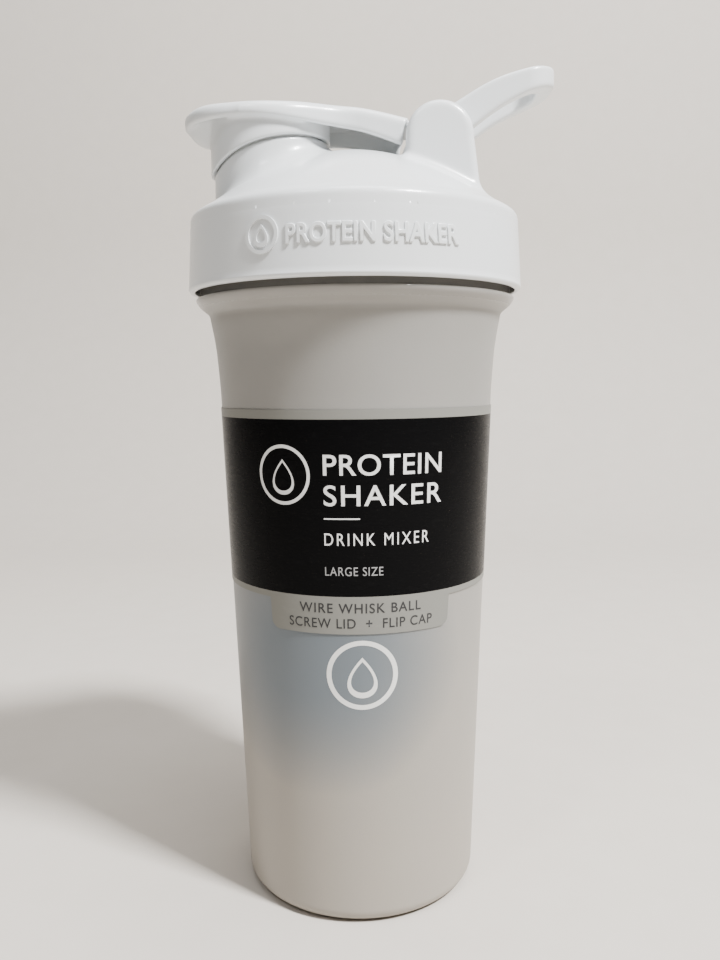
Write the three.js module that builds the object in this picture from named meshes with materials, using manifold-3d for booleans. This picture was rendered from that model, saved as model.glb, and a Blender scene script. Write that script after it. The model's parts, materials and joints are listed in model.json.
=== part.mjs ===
// Protein shaker bottle: a tapered bottle with a screw lid, a flip cap over the spout, a carry
// loop, a wire whisk ball and a printed sleeve. Millimetres, +Z up, the bottle's axis on Z, the
// spout towards -X and the hinge towards +X.
import * as THREE from "three";
import { mergeVertices } from "three/addons/utils/BufferGeometryUtils.js";
import Module from "manifold-3d";

const wasm = await Module();
wasm.setup();

// ---- Driving dimensions ----------------------------------------------------------------------
const GAP = 0.3; // between pieces that touch in use
const AROUND = 56; // facets round the bottle's axis

// Bottle
const WALL = 1.8;
const FOOT_R = 35.3; // outer radius just above the base's rounded edge
const FOOT_ROUND = 4.2;
const FLOOR_Z = 3.0; // top of the floor
const GROOVE_R = 24; // ring groove in the underside, round the gate
const GROOVE = 0.8;
const WAIST_Z = 150; // where the straight taper ends
const WAIST_R = 40.6;
const BEAD_R = 47.0; // rounded flange under the lid
const BEAD_Z = 177.6;
const NECK_R = 44.6;
const NECK_WALL = 1.9;
const NECK_BASE_R = 46.2; // short band just above the flange
const MOUTH_Z = 197.4;

// Thread
const PITCH = 5;
const TURNS = 1.5;
const THREAD_Z = 187; // start of the bottle's thread
const THREAD_DEPTH = 1.2;

// Lid
const SKIRT_Z = 179.4; // lower edge of the collar
const COLLAR_R = 49.0;
const COLLAR_TOP_R = 47.9;
const COLLAR_TOP_Z = 198.8;
const SHOULDER_R = 45; // where the dome starts, inside the rounded rim
const SHOULDER_Z = 201.6;
const DOME_RISE = 18.4;
const DOME_POWER = 1.76;
const LID_WALL = 1.9;
const SEAT_Z = MOUTH_Z + 2.2; // underside that holds the seal down
const PLUG_R = 42.2; // ring inside the bottle's mouth

// Spout and the cap's skirt over it
const SPOUT_X = -24.4;
const SPOUT_R = 16.5;
const SPOUT_TOP_R = 15.4;
const SPOUT_BORE_R = 13.6;
const SPOUT_TOP_Z = 226.5;
const CAP_SKIRT_R = 17.5;
const CAP_SKIRT_BORE_R = 15.8;
// The skirt's lower edge seen from the side, as [x, z] from the cap's tip towards the hinge.
const SKIRT_EDGE = [[-42, 213.0], [-36, 216.2], [-30, 218.8], [-20, 221.3], [-7, 222.8]];
const EDGE_STEP = 0.5; // gap between the skirt and the ledge round the spout

// Hinge shared by the cap and the loop
const HINGE_X = 23.9;
const HINGE_Z = 221.2;
const POST_R = 9.8;
const POST_IN = 12.0; // inner face of each post, from the middle
const POST_OUT = 16.0;
const PIN_R = 2.6;
const PIN_END = 14.4;
const KNUCKLE_R = 4.6;
const KNUCKLE_HALF = 7.0;
const LOOP_IN = 7.4;
const LOOP_OUT = 11.6;

// Flip cap
const CAP_TIP_X = -49.0;
const CAP_HALF = 19.2; // half the cap's greatest width
const ARM_HALF = 11.4;
const ARM_END_R = 10.0; // the arm ends this far from the hinge, clear of the loop's eyes
const CAP_SKIN = 2.0;
const CAP_RIM = 1.8;
const CAP_PLUG_R = 13.0;

// Carry loop
const LOOP_TIP_X = 58.0;
const LOOP_BAR = 5.2; // the tip's width along the loop

// Whisk ball
const BALL_R = 25;
const WIRE_R = 1.1;
const BALL_TURNS = 13;

// Sleeve
const SLEEVE_GAP = 0.25;
const SLEEVE_THICK = 0.4;
const SLEEVE_LOW_Z = 94.5;
const SLEEVE_HIGH_Z = 146.1;
const TAB_LOW_Z = 85.8;
const TAB_HALF_ANGLE = THREE.MathUtils.degToRad(39.5);

// ---- Helpers ---------------------------------------------------------------------------------
const XZ = Math.PI / 2; // turns an outline drawn in X and Y upright, into X and Z

function solid(geometry) {
  const bare = geometry.clone();
  bare.deleteAttribute("normal");
  bare.deleteAttribute("uv");
  const merged = mergeVertices(bare, 1e-3);
  return new wasm.Manifold(
    new wasm.Mesh({
      numProp: 3,
      vertProperties: merged.attributes.position.array,
      triVerts: new Uint32Array(merged.index.array),
    }),
  );
}

function geometryOf(manifold) {
  const mesh = manifold.getMesh();
  const geometry = new THREE.BufferGeometry();
  geometry.setAttribute("position", new THREE.BufferAttribute(mesh.vertProperties, 3));
  geometry.setIndex(new THREE.BufferAttribute(mesh.triVerts, 1));
  geometry.computeVertexNormals();
  return geometry;
}

// A turned solid from [radius, z] points, going up the outside and down the inside.
function turned(points, facets = AROUND) {
  const profile = points.map(([r, z]) => new THREE.Vector2(r, z));
  return solid(new THREE.LatheGeometry(profile, facets).rotateX(XZ));
}

function ring(outer, inner, low, high, facets) {
  const square = [[inner, low], [outer, low], [outer, high], [inner, high], [inner, low]];
  return turned(square, facets);
}

function post(radius, low, high, facets) {
  return turned([[0, low], [radius, low], [radius, high], [0, high]], facets);
}

// An outline in X and Z, run across Y from one side to the other, its edges rounded by bevel.
function across(shape, from, to, bevel = 0) {
  const slab = new THREE.ExtrudeGeometry(shape, {
    depth: to - from - 2 * bevel,
    curveSegments: 5,
    bevelEnabled: bevel > 0,
    bevelThickness: bevel,
    bevelSize: bevel,
    bevelOffset: -bevel,
    bevelSegments: 2,
  });
  return solid(slab.rotateX(XZ).translate(0, to - bevel, 0));
}

// An outline in X and Y, run up Z.
function upright(shape, low, high) {
  const options = { depth: high - low, curveSegments: 5, bevelEnabled: false };
  return solid(new THREE.ExtrudeGeometry(shape, options).translate(0, 0, low));
}

function pin(radius, from, to, facets = 24) {
  const rod = new THREE.CylinderGeometry(radius, radius, to - from, facets);
  return solid(rod.translate(HINGE_X, (from + to) / 2, HINGE_Z));
}

// A smooth outline through [x, y] points, joined on to the shape's last point.
function curveThrough(shape, points) {
  shape.splineThru(points.map(([x, y]) => new THREE.Vector2(x, y)));
}

const mirrored = (part) => part.add(part.mirror([0, 1, 0]));

// A thread ridge round Z: it grows out of `wall(z)` to `crest(z)` and runs out to nothing at
// both ends.
function thread(startZ, startAngle, wall, crest) {
  const steps = Math.round(TURNS * 40);
  const rootHalf = 1.1;
  const crestHalf = 0.6;
  const sunk = wall(0) > crest(0) ? 0.5 : -0.5; // the ridge's root, buried in the wall
  const corners = [];
  for (let i = 0; i <= steps; i++) {
    const t = i / steps;
    const angle = startAngle + t * TURNS * 2 * Math.PI;
    const z = startZ + t * TURNS * PITCH;
    const rise = Math.min(1, 12 * Math.min(t, 1 - t) + 0.02);
    const root = wall(z) + sunk;
    const top = wall(z) + (crest(z) - wall(z)) * rise;
    const section = [[root, -rootHalf], [top, -crestHalf], [top, crestHalf], [root, rootHalf]];
    for (const [r, dz] of section)
      corners.push(r * Math.cos(angle), r * Math.sin(angle), z + dz);
  }
  const faces = [0, 1, 2, 0, 2, 3];
  const last = 4 * steps;
  faces.push(last, last + 2, last + 1, last, last + 3, last + 2);
  for (let i = 0; i < steps; i++)
    for (let k = 0; k < 4; k++) {
      const a = 4 * i + k;
      const b = 4 * i + ((k + 1) % 4);
      faces.push(a, a + 4, b, b, a + 4, b + 4);
    }
  const outward = wall(0) < crest(0);
  if (!outward) faces.reverse();
  const ridge = new THREE.BufferGeometry();
  ridge.setAttribute("position", new THREE.Float32BufferAttribute(corners, 3));
  ridge.setIndex(faces);
  return solid(ridge);
}

// ---- Bottle ----------------------------------------------------------------------------------
const taper = (z) => FOOT_R + ((WAIST_R - FOOT_R) * (z - FOOT_ROUND)) / (WAIST_Z - FOOT_ROUND);

function bottleBody() {
  const neckIn = NECK_R - NECK_WALL;
  const foot = [];
  for (let i = 0; i <= 4; i++) {
    const turn = (i / 4) * (Math.PI / 2);
    foot.push([
      FOOT_R - FOOT_ROUND + FOOT_ROUND * Math.sin(turn),
      FOOT_ROUND - FOOT_ROUND * Math.cos(turn),
    ]);
  }
  const underside = [
    [0, 0],
    [GROOVE_R - 1, 0],
    [GROOVE_R, GROOVE],
    [GROOVE_R + 1, GROOVE],
    [GROOVE_R + 2, 0],
  ];
  const flare = [
    [WAIST_R, WAIST_Z],
    [40.8, 157.8],
    [41.8, 167],
    [42.4, 170.5],
    [42.8, 172.4],
    [45.0, 174.6],
    [46.4, 176.0],
    [BEAD_R, BEAD_Z - 0.4],
    [BEAD_R - 0.5, BEAD_Z],
    [NECK_BASE_R, BEAD_Z],
    [NECK_BASE_R, BEAD_Z + 2.4],
    [NECK_R, BEAD_Z + 3.6],
    [NECK_R, MOUTH_Z - 0.6],
    [NECK_R - 0.5, MOUTH_Z],
  ];
  const inside = [
    [neckIn + 0.5, MOUTH_Z],
    [neckIn, MOUTH_Z - 0.6],
    [neckIn, 177.5],
    [42.2, 175],
    [40.9, 171.5],
    [39.6, 163],
    [WAIST_R - WALL, WAIST_Z],
    [FOOT_R - WALL, FLOOR_Z + 6],
    [FOOT_R - WALL - 2, FLOOR_Z + 2],
    [FOOT_R - WALL - 6, FLOOR_Z],
    [0, FLOOR_Z],
  ];
  const shell = turned([...underside, ...foot, ...flare, ...inside]);
  const neck = () => NECK_R;
  const crest = () => NECK_R + THREAD_DEPTH;
  return shell.add(thread(THREAD_Z, 0, neck, crest));
}

// ---- Screw lid -------------------------------------------------------------------------------
const domeZ = (r) => SHOULDER_Z + DOME_RISE * (1 - (r / SHOULDER_R) ** DOME_POWER);
const collarBore = (z) => 47.2 - (1.2 * (z - SKIRT_Z)) / (COLLAR_TOP_Z - SKIRT_Z);

// Everything above the curved edge that the cap's skirt ends on, lowered by `drop`.
function aboveEdge(drop) {
  const [left, right] = [SPOUT_X - 30, SPOUT_X + 30];
  const side = new THREE.Shape();
  side.moveTo(left, 206 - drop);
  curveThrough(side, SKIRT_EDGE.map(([x, z]) => [x, z - drop]));
  side.lineTo(right, 223 - drop);
  side.lineTo(right, 260);
  side.lineTo(left, 260);
  return across(side, -30, 30);
}

function hingePost() {
  const side = new THREE.Shape();
  side.moveTo(HINGE_X - POST_R - 0.4, 203);
  side.lineTo(HINGE_X + POST_R + 2.4, 203);
  side.lineTo(HINGE_X + POST_R, HINGE_Z);
  side.absarc(HINGE_X, HINGE_Z, POST_R, 0, Math.PI, false);
  side.lineTo(HINGE_X - POST_R - 0.4, 203);
  return across(side, POST_IN, POST_OUT, 1.0).subtract(pin(PIN_R + GAP, 0, PIN_END + 0.4));
}

function screwLid() {
  const rounding = [
    [COLLAR_TOP_R, COLLAR_TOP_Z],
    [47.5, 200.1],
    [46.7, 200.9],
    [SHOULDER_R + 0.7, SHOULDER_Z - 0.1],
  ];
  const dome = [43.8, 36, 27, 18, 9, 0].map((r) => [r, domeZ(r)]);
  const outside = turned([[0, SKIRT_Z], [COLLAR_R, SKIRT_Z], ...rounding, ...dome]);
  const under = [39, 30, 20, 10, 0].map((r) => [r, domeZ(r) - LID_WALL]);
  const cavity = turned([
    [0, SKIRT_Z - 1],
    [collarBore(SKIRT_Z), SKIRT_Z - 1],
    [collarBore(MOUTH_Z), MOUTH_Z],
    [44.9, SEAT_Z],
    [PLUG_R - 1.4, SEAT_Z],
    ...under,
  ]);
  const spout = post(SPOUT_R, 203, 235, 40)
    .translate([SPOUT_X, 0, 0])
    .subtract(aboveEdge(EDGE_STEP))
    .add(post(SPOUT_TOP_R, 203, SPOUT_TOP_Z, 40).translate([SPOUT_X, 0, 0]));
  const bore = post(SPOUT_BORE_R, 190, 240, 40).translate([SPOUT_X, 0, 0]);
  const plug = ring(PLUG_R, PLUG_R - 1.4, SEAT_Z - 6, SEAT_Z + 0.5);
  const ridge = thread(THREAD_Z + PITCH / 2, 0, collarBore, () => NECK_R + 0.4);
  return outside
    .add(spout)
    .add(mirrored(hingePost()))
    .subtract(cavity)
    .add(plug)
    .subtract(bore)
    .add(ridge);
}

const lidSeal = () => ring(44.2, PLUG_R + GAP, MOUTH_Z + GAP, SEAT_Z - GAP);

// ---- Flip cap --------------------------------------------------------------------------------
// The cap seen from above: a round head over the spout, narrowing to an arm at the hinge.
function capPlan(inset) {
  const tip = CAP_TIP_X + inset;
  const arm = ARM_HALF - inset;
  const armStart = 6;
  const edge = [
    [tip + 1.2, 6.5],
    [tip + 6, 13 - 0.5 * inset],
    [SPOUT_X - 10, 17.6 - inset],
    [SPOUT_X, CAP_HALF - inset],
    [SPOUT_X + 12, 16.9 - inset],
    [armStart - 8, 13.2 - inset],
    [armStart, arm],
  ];
  const farEdge = edge.slice(0, -1).reverse();
  const plan = new THREE.Shape();
  plan.moveTo(tip, 0);
  curveThrough(plan, edge);
  plan.lineTo(HINGE_X, arm);
  plan.lineTo(HINGE_X, -arm);
  plan.lineTo(armStart, -arm);
  curveThrough(plan, [...farEdge.map(([x, y]) => [x, -y]), [tip, 0]]);
  return upright(plan, 205, 240);
}

// The cap seen from the side, its top lowered by `skin`.
function capSide(skin, underside) {
  const side = new THREE.Shape();
  side.moveTo(CAP_TIP_X, 226.2);
  curveThrough(side, [
    [CAP_TIP_X + 0.1, 228.8 - skin],
    [-47.2, 230.1 - skin],
    [-42, 230.8 - skin],
    [SPOUT_X, 231 - skin],
    [-8, 230.8 - skin],
    [2, 230.1 - skin],
    [9, 228.7 - skin],
    [HINGE_X - 9.5, 227.3 - skin],
    [HINGE_X, HINGE_Z + KNUCKLE_R - skin],
  ]);
  curveThrough(side, underside);
  side.lineTo(CAP_TIP_X, 226.2);
  return across(side, -25, 25);
}

function flipCap() {
  const lowEdge = [
    [HINGE_X, HINGE_Z - KNUCKLE_R],
    [HINGE_X - 10, 219.5],
    [7, 222.0],
    [1.6, 223.6],
    [-9, 224.8],
    [SPOUT_X, 226.0],
    [-38, 226.0],
    [-42, 221.8],
    [-45.4, 222.6],
    [-48, 224.9],
  ];
  const deep = [[HINGE_X, 200], [CAP_TIP_X + 6, 200]];
  const hollow = capPlan(CAP_RIM)
    .intersect(capSide(CAP_SKIN, deep))
    .subtract(pin(KNUCKLE_R + CAP_RIM, -20, 20));
  const shell = capPlan(0).intersect(capSide(0, lowEdge)).subtract(hollow);
  const skirt = ring(CAP_SKIRT_R, CAP_SKIRT_BORE_R, 205, 235, 40)
    .translate([SPOUT_X, 0, 0])
    .intersect(aboveEdge(0));
  const plug = ring(CAP_PLUG_R, CAP_PLUG_R - 1.4, 221, 235, 40).translate([SPOUT_X, 0, 0]);
  const besideKnuckle = mirrored(pin(ARM_END_R, KNUCKLE_HALF, 20, 40));
  return shell
    .subtract(besideKnuckle)
    .add(skirt.add(plug).intersect(capSide(CAP_SKIN / 2, deep)))
    .add(pin(KNUCKLE_R, -KNUCKLE_HALF, KNUCKLE_HALF))
    .add(pin(PIN_R, -PIN_END, PIN_END));
}

// ---- Carry loop ------------------------------------------------------------------------------
function carryLoop() {
  const eye = KNUCKLE_R;
  const side = new THREE.Shape();
  side.moveTo(HINGE_X - eye, HINGE_Z);
  side.absarc(HINGE_X, HINGE_Z, eye, Math.PI, 1.72 * Math.PI, false);
  curveThrough(side, [
    [33.6, 224.0],
    [41.6, 229.6],
    [50.4, 234.0],
    [LOOP_TIP_X - 0.3, 237.0],
    [LOOP_TIP_X, 240.4],
    [LOOP_TIP_X - 1.2, 241.6],
    [50.2, 240.0],
    [39.2, 236.6],
    [29.4, 231.0],
    [HINGE_X - 3.0, HINGE_Z + 4.6],
    [HINGE_X - eye, HINGE_Z],
  ]);
  const corner = LOOP_OUT * 0.8;
  const plan = new THREE.Shape();
  plan.moveTo(HINGE_X - 8, -LOOP_OUT);
  plan.lineTo(LOOP_TIP_X - corner, -LOOP_OUT);
  plan.absarc(LOOP_TIP_X - corner, corner - LOOP_OUT, corner, -Math.PI / 2, 0, false);
  plan.absarc(LOOP_TIP_X - corner, LOOP_OUT - corner, corner, 0, Math.PI / 2, false);
  plan.lineTo(HINGE_X - 8, LOOP_OUT);
  const gapEnd = LOOP_TIP_X - LOOP_BAR;
  const inner = LOOP_IN * 0.8;
  const gap = new THREE.Shape();
  gap.moveTo(HINGE_X - 9, -LOOP_IN);
  gap.lineTo(gapEnd - inner, -LOOP_IN);
  gap.absarc(gapEnd - inner, inner - LOOP_IN, inner, -Math.PI / 2, 0, false);
  gap.absarc(gapEnd - inner, LOOP_IN - inner, inner, 0, Math.PI / 2, false);
  gap.lineTo(HINGE_X - 9, LOOP_IN);
  return upright(plan, 205, 250)
    .subtract(upright(gap, 200, 255))
    .intersect(across(side, -20, 20))
    .subtract(pin(PIN_R + GAP, -20, 20));
}

// ---- Whisk ball ------------------------------------------------------------------------------
// One wire wound over a ball from pole to pole.
class BallWinding extends THREE.Curve {
  getPoint(t, target = new THREE.Vector3()) {
    const down = THREE.MathUtils.lerp(0.07, Math.PI - 0.07, t);
    const round = t * BALL_TURNS * 2 * Math.PI;
    const radius = BALL_R - WIRE_R;
    target.setFromSphericalCoords(radius, down, round);
    return target.set(target.x, target.z, target.y);
  }
}

function whiskBall() {
  const wire = new THREE.Shape();
  const sides = 5;
  for (let i = 0; i < sides; i++) {
    const angle = (i / sides) * 2 * Math.PI;
    const corner = [WIRE_R * Math.cos(angle), WIRE_R * Math.sin(angle)];
    if (i) wire.lineTo(...corner);
    else wire.moveTo(...corner);
  }
  const winding = new THREE.ExtrudeGeometry(wire, {
    steps: BALL_TURNS * 14,
    extrudePath: new BallWinding(),
    bevelEnabled: false,
  });
  return solid(winding.translate(0, 0, FLOOR_Z + GAP + BALL_R));
}

// ---- Sleeve ----------------------------------------------------------------------------------
function labelSleeve() {
  const inner = (z) => taper(z) + SLEEVE_GAP;
  const wrap = (low) => {
    const outer = (z) => inner(z) + SLEEVE_THICK;
    const high = SLEEVE_HIGH_Z;
    return turned([[inner(low), low], [outer(low), low], [outer(high), high],
      [inner(high), high], [inner(low), low]]);
  };
  const reach = 60;
  const wedge = new THREE.Shape();
  wedge.moveTo(0, 0);
  wedge.lineTo(-reach * Math.sin(TAB_HALF_ANGLE), -reach * Math.cos(TAB_HALF_ANGLE));
  wedge.lineTo(reach * Math.sin(TAB_HALF_ANGLE), -reach * Math.cos(TAB_HALF_ANGLE));
  const tab = wrap(TAB_LOW_Z).intersect(upright(wedge, TAB_LOW_Z - 1, SLEEVE_LOW_Z + 1));
  return wrap(SLEEVE_LOW_Z).add(tab);
}

// ---- Assembly --------------------------------------------------------------------------------
const LOOKS = {
  frosted: { color: 0xb4b1a9, roughness: 0.45, metalness: 0, transparent: true, opacity: 0.75 },
  white: { color: 0xe4e6e6, roughness: 0.28, metalness: 0 },
  seal: { color: 0xd6d8d8, roughness: 0.6, metalness: 0 },
  steel: { color: 0xb9bbbd, roughness: 0.25, metalness: 1 },
  print: { color: 0x141414, roughness: 0.4, metalness: 0 },
};

const pieces = {
  bottle_body: [bottleBody(), "frosted"],
  lid_seal: [lidSeal(), "seal"],
  screw_lid: [screwLid(), "white"],
  flip_cap: [flipCap(), "white"],
  carry_loop: [carryLoop(), "white"],
  whisk_ball: [whiskBall(), "steel"],
  label_sleeve: [labelSleeve(), "print"],
};

const group = new THREE.Group();
group.name = "shaker_bottle";
for (const [name, [shape, look]] of Object.entries(pieces)) {
  const mesh = new THREE.Mesh(geometryOf(shape), new THREE.MeshStandardMaterial(LOOKS[look]));
  mesh.name = name;
  group.add(mesh);
}

export default group;
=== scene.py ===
import json
import math

import bmesh
import bpy
import numpy as np
from bpy.props import FloatProperty, FloatVectorProperty, PointerProperty, StringProperty
from mathutils import Matrix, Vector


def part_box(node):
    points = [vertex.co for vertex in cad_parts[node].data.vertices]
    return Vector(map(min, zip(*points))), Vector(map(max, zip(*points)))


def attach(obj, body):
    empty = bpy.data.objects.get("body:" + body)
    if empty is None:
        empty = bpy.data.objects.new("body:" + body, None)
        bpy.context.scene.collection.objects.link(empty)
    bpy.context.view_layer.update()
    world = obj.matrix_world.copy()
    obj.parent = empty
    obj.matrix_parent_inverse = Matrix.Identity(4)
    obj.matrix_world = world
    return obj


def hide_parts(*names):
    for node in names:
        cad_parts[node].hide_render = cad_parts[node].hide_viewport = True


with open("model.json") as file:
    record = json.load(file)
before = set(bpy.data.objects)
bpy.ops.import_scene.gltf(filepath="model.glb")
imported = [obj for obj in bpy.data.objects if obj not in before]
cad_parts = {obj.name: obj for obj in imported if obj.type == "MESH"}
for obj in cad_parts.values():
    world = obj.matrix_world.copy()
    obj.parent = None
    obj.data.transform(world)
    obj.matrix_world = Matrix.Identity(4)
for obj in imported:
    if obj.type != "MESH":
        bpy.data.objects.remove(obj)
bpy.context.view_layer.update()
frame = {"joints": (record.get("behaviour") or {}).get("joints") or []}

bl_info = {
    "name": "Shaker bottle",
    "version": (1, 0, 0),
    "blender": (4, 2, 0),
    "location": "View3D > Sidebar > Shaker",
    "description": "Moulded, filleted and printed pieces of a protein shaker on its packed frame",
    "category": "Object",
}

MM = 0.001
JOINTS = {joint["name"]: joint for joint in frame["joints"]}


# ---- Places taken from the frame, in millimetres -------------------------------------------------
def low(node, axis):
    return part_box(node)[0][axis] / MM


def high(node, axis):
    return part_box(node)[1][axis] / MM


HINGE_X = JOINTS["cap_flip"]["pos_m"][0] / MM
HINGE_Z = JOINTS["cap_flip"]["pos_m"][2] / MM
COLLAR_R = high("screw_lid", 1)
COLLAR_LOW = low("screw_lid", 2)
MOUTH_Z = high("bottle_body", 2)
BEAD_R = high("bottle_body", 1)
SLEEVE_TOP = high("label_sleeve", 2)
TAB_LOW = low("label_sleeve", 2)
LOOP_TIP = high("carry_loop", 0)
CAP_TIP = low("flip_cap", 0)
BALL_R = (high("whisk_ball", 2) - low("whisk_ball", 2)) / 2
BALL_Z = (high("whisk_ball", 2) + low("whisk_ball", 2)) / 2

# Sizes that the frame's boxes do not give, in millimetres.
FOOT_R = 35.3
FOOT_ROUND = 4.2
WAIST_Z = 150.0
WAIST_R = 40.6
WALL = 1.8
NECK_R = 44.6
NECK_WALL = 1.9
BEAD_TOP = 177.6
THREAD_PITCH = 5.0
SHOULDER_Z = 201.6
SHOULDER_R = 45.0
DOME_RISE = 18.4
DOME_POWER = 1.76
RIM_Z = 198.7
RIM_ROUND = 2.5
LID_WALL = 1.9
SEAM_Z = 196.6
NECK_BASE_R = 46.2
SPOUT_X = -24.4
SPOUT_R = 16.5
POST_R = 9.5
POST_BACK = 0.35
POST_MIDDLE = 14.0
COLLAR_EDGE = COLLAR_LOW - 0.3


def curve_at(points, x):
    """Height at x on a smooth curve through [x, height] points."""
    px, pz = np.array(points, float).T
    slope = np.gradient(pz, px)
    x = np.clip(x, px[0], px[-1])
    i = np.clip(np.searchsorted(px, x) - 1, 0, len(px) - 2)
    step = px[i + 1] - px[i]
    t = (x - px[i]) / step
    return (
        (2 * t**3 - 3 * t**2 + 1) * pz[i]
        + (t**3 - 2 * t**2 + t) * step * slope[i]
        + (3 * t**2 - 2 * t**3) * pz[i + 1]
        + (t**3 - t**2) * step * slope[i + 1]
    )


FLARE = [(150, 40.6), (154, 40.85), (158, 41.15), (163, 41.6), (166.2, 42.05), (170.4, 42.8),
         (172.4, 43.15)]
FLANGE = [(43.5, 173.1), (44.2, 173.7), (45.1, 174.4), (45.8, 175.0), (46.4, 175.7), (46.8, 176.3)]


def bottle_r(z):
    """Outer radius of the bottle at height z, below its flange."""
    straight = FOOT_R + (WAIST_R - FOOT_R) * (z - FOOT_ROUND) / (WAIST_Z - FOOT_ROUND)
    return np.where(z < WAIST_Z, straight, curve_at(FLARE, z))


def sleeve_r(z):
    return bottle_r(z) + 0.25


def collar_r(z):
    """Outer radius of the lid's collar, which has a little draft."""
    return COLLAR_R - 0.055 * (z - COLLAR_LOW)


def collar_bore(z):
    return 47.2 - 0.062 * (z - COLLAR_LOW)


# ---- Sizes and colours that a user would change --------------------------------------------------
def length(name, description, millimetres):
    return FloatProperty(
        name=name, description=description, default=millimetres * MM, unit="LENGTH", precision=5
    )


def colour(name, description, value):
    return FloatVectorProperty(
        name=name, description=description, default=value, subtype="COLOR", min=0, max=1
    )


class ShakerSizes(bpy.types.PropertyGroup):
    spout_fillet: length("Spout fillet", "Radius where the spout meets the dome", 5.5)
    post_fillet: length("Post fillet", "Radius where a hinge post meets the dome", 2.6)
    post_edge: length("Post edge", "Rounding of a hinge post's edges", 2.4)
    cap_crown: length("Cap crown", "How much higher the cap is along its middle", 1.9)
    emboss: length("Raised mark", "Height of the raised mark on the collar", 0.5)
    whisk_wire: length("Whisk wire", "Thickness of the whisk ball's wire", 2.2)


class ShakerColours(bpy.types.PropertyGroup):
    lid: colour("Lid plastic", "Moulded plastic of lid, cap and loop", (0.72, 0.745, 0.76))
    frosted: colour("Frosted plastic", "The bottle's wall", (0.265, 0.256, 0.238))
    # painted shade: a cool, darker patch mixed into the wall's colour
    painted_shade: colour("Frosted shade", "Painted shade: a cooler, darker patch on the wall", (0.098, 0.128, 0.155))
    # painted light: the wall brighter and warmer near the base
    warm: colour("Frosted warm", "Painted light: the wall brighter and warmer near the base", (0.34, 0.31, 0.268))
    band: colour("Sleeve band", "Printed black of the sleeve", (0.002, 0.002, 0.0023))
    border: colour("Sleeve border", "Printed grey of the sleeve's borders and tab", (0.205, 0.203, 0.184))
    steel: colour("Whisk steel", "Drawn stainless wire", (0.62, 0.63, 0.64))


class ShakerWords(bpy.types.PropertyGroup):
    title: StringProperty(name="Title", description="Upper line on the sleeve", default="PROTEIN")
    second: StringProperty(name="Second line", description="Line below it", default="SHAKER")
    kind: StringProperty(name="Kind", description="Spaced capitals", default="DRINK MIXER")
    note: StringProperty(name="Note", description="Small grey line", default="LARGE SIZE")
    tab_one: StringProperty(name="Tab, line one", description="Upper line", default="WIRE WHISK BALL")
    tab_two: StringProperty(
        name="Tab, line two", description="Lower line", default="SCREW LID  +  FLIP CAP"
    )
    collar: StringProperty(
        name="Collar", description="Raised words on the lid", default="PROTEIN SHAKER"
    )


# ---- Shader maths --------------------------------------------------------------------------------
class Value:
    """A socket whose arithmetic adds Math nodes."""

    def __init__(self, finish, socket):
        self.finish = finish
        self.socket = socket

    def math(self, operation, *others, clamp=False):
        return self.finish.node(
            "ShaderNodeMath", {"operation": operation, "use_clamp": clamp}, [self, *others]
        )

    def __add__(self, other):
        return self.math("ADD", other)

    def __sub__(self, other):
        return self.math("SUBTRACT", other)

    def __mul__(self, other):
        return self.math("MULTIPLY", other)

    def __rsub__(self, other):
        return self.finish.node("ShaderNodeMath", {"operation": "SUBTRACT"}, [other, self])

    __radd__ = __add__
    __rmul__ = __mul__

    def above(self, limit, soft):
        """0 below limit and 1 above it, over a soft edge."""
        return ((self - limit) * (1 / soft) + 0.5).math("ADD", 0, clamp=True)


def socket_name(word):
    return word.replace("_", " ").title().replace("Ior", "IOR")


class Finish:
    """A procedural material and the nodes of its pattern."""

    def __init__(self, name, **fixed):
        self.material = bpy.data.materials.new(name)
        self.material.use_nodes = True
        self.tree = self.material.node_tree
        self.shader = self.tree.nodes["Principled BSDF"]
        for key, value in fixed.items():
            self.shader.inputs[socket_name(key)].default_value = value

    def node(self, kind, settings=None, sockets=(), output=0):
        made = self.tree.nodes.new(kind)
        for key, value in (settings or {}).items():
            if key == "stops":
                for stop, (place, tone) in zip(made.color_ramp.elements, value):
                    stop.position = place
                    stop.color = (*tone, 1)
            else:
                setattr(made, key, value)
        named = sockets.items() if isinstance(sockets, dict) else enumerate(sockets)
        for key, value in named:
            if isinstance(value, Value):
                self.tree.links.new(value.socket, made.inputs[key])
            else:
                made.inputs[key].default_value = value
        return Value(self, made.outputs[output])

    def place(self):
        return self.node("ShaderNodeTexCoord", output="Object")

    def axes(self):
        split = self.node("ShaderNodeSeparateXYZ", sockets=[self.place()])
        return [Value(self, out) for out in split.socket.node.outputs]

    def stretched(self, scale):
        settings = {"operation": "MULTIPLY"}
        return self.node("ShaderNodeVectorMath", settings, [self.place(), scale])

    def noise(self, scale, detail=2.0, vector=None):
        sockets = {"Vector": vector or self.place(), "Scale": scale, "Detail": detail}
        return self.node("ShaderNodeTexNoise", sockets=sockets)

    def mix(self, factor, first, second):
        sockets = {0: factor}
        for key, value in ((6, first), (7, second)):
            sockets[key] = value if isinstance(value, Value) else (*value, 1)
        return self.node("ShaderNodeMix", {"data_type": "RGBA"}, sockets, output=2)

    def drive(self, **sockets):
        for key, value in sockets.items():
            self.tree.links.new(value.socket, self.shader.inputs[socket_name(key)])

    def bump(self, height, distance, strength=0.3):
        sockets = {"Strength": strength, "Distance": distance, "Height": height}
        self.drive(normal=self.node("ShaderNodeBump", sockets=sockets))


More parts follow.
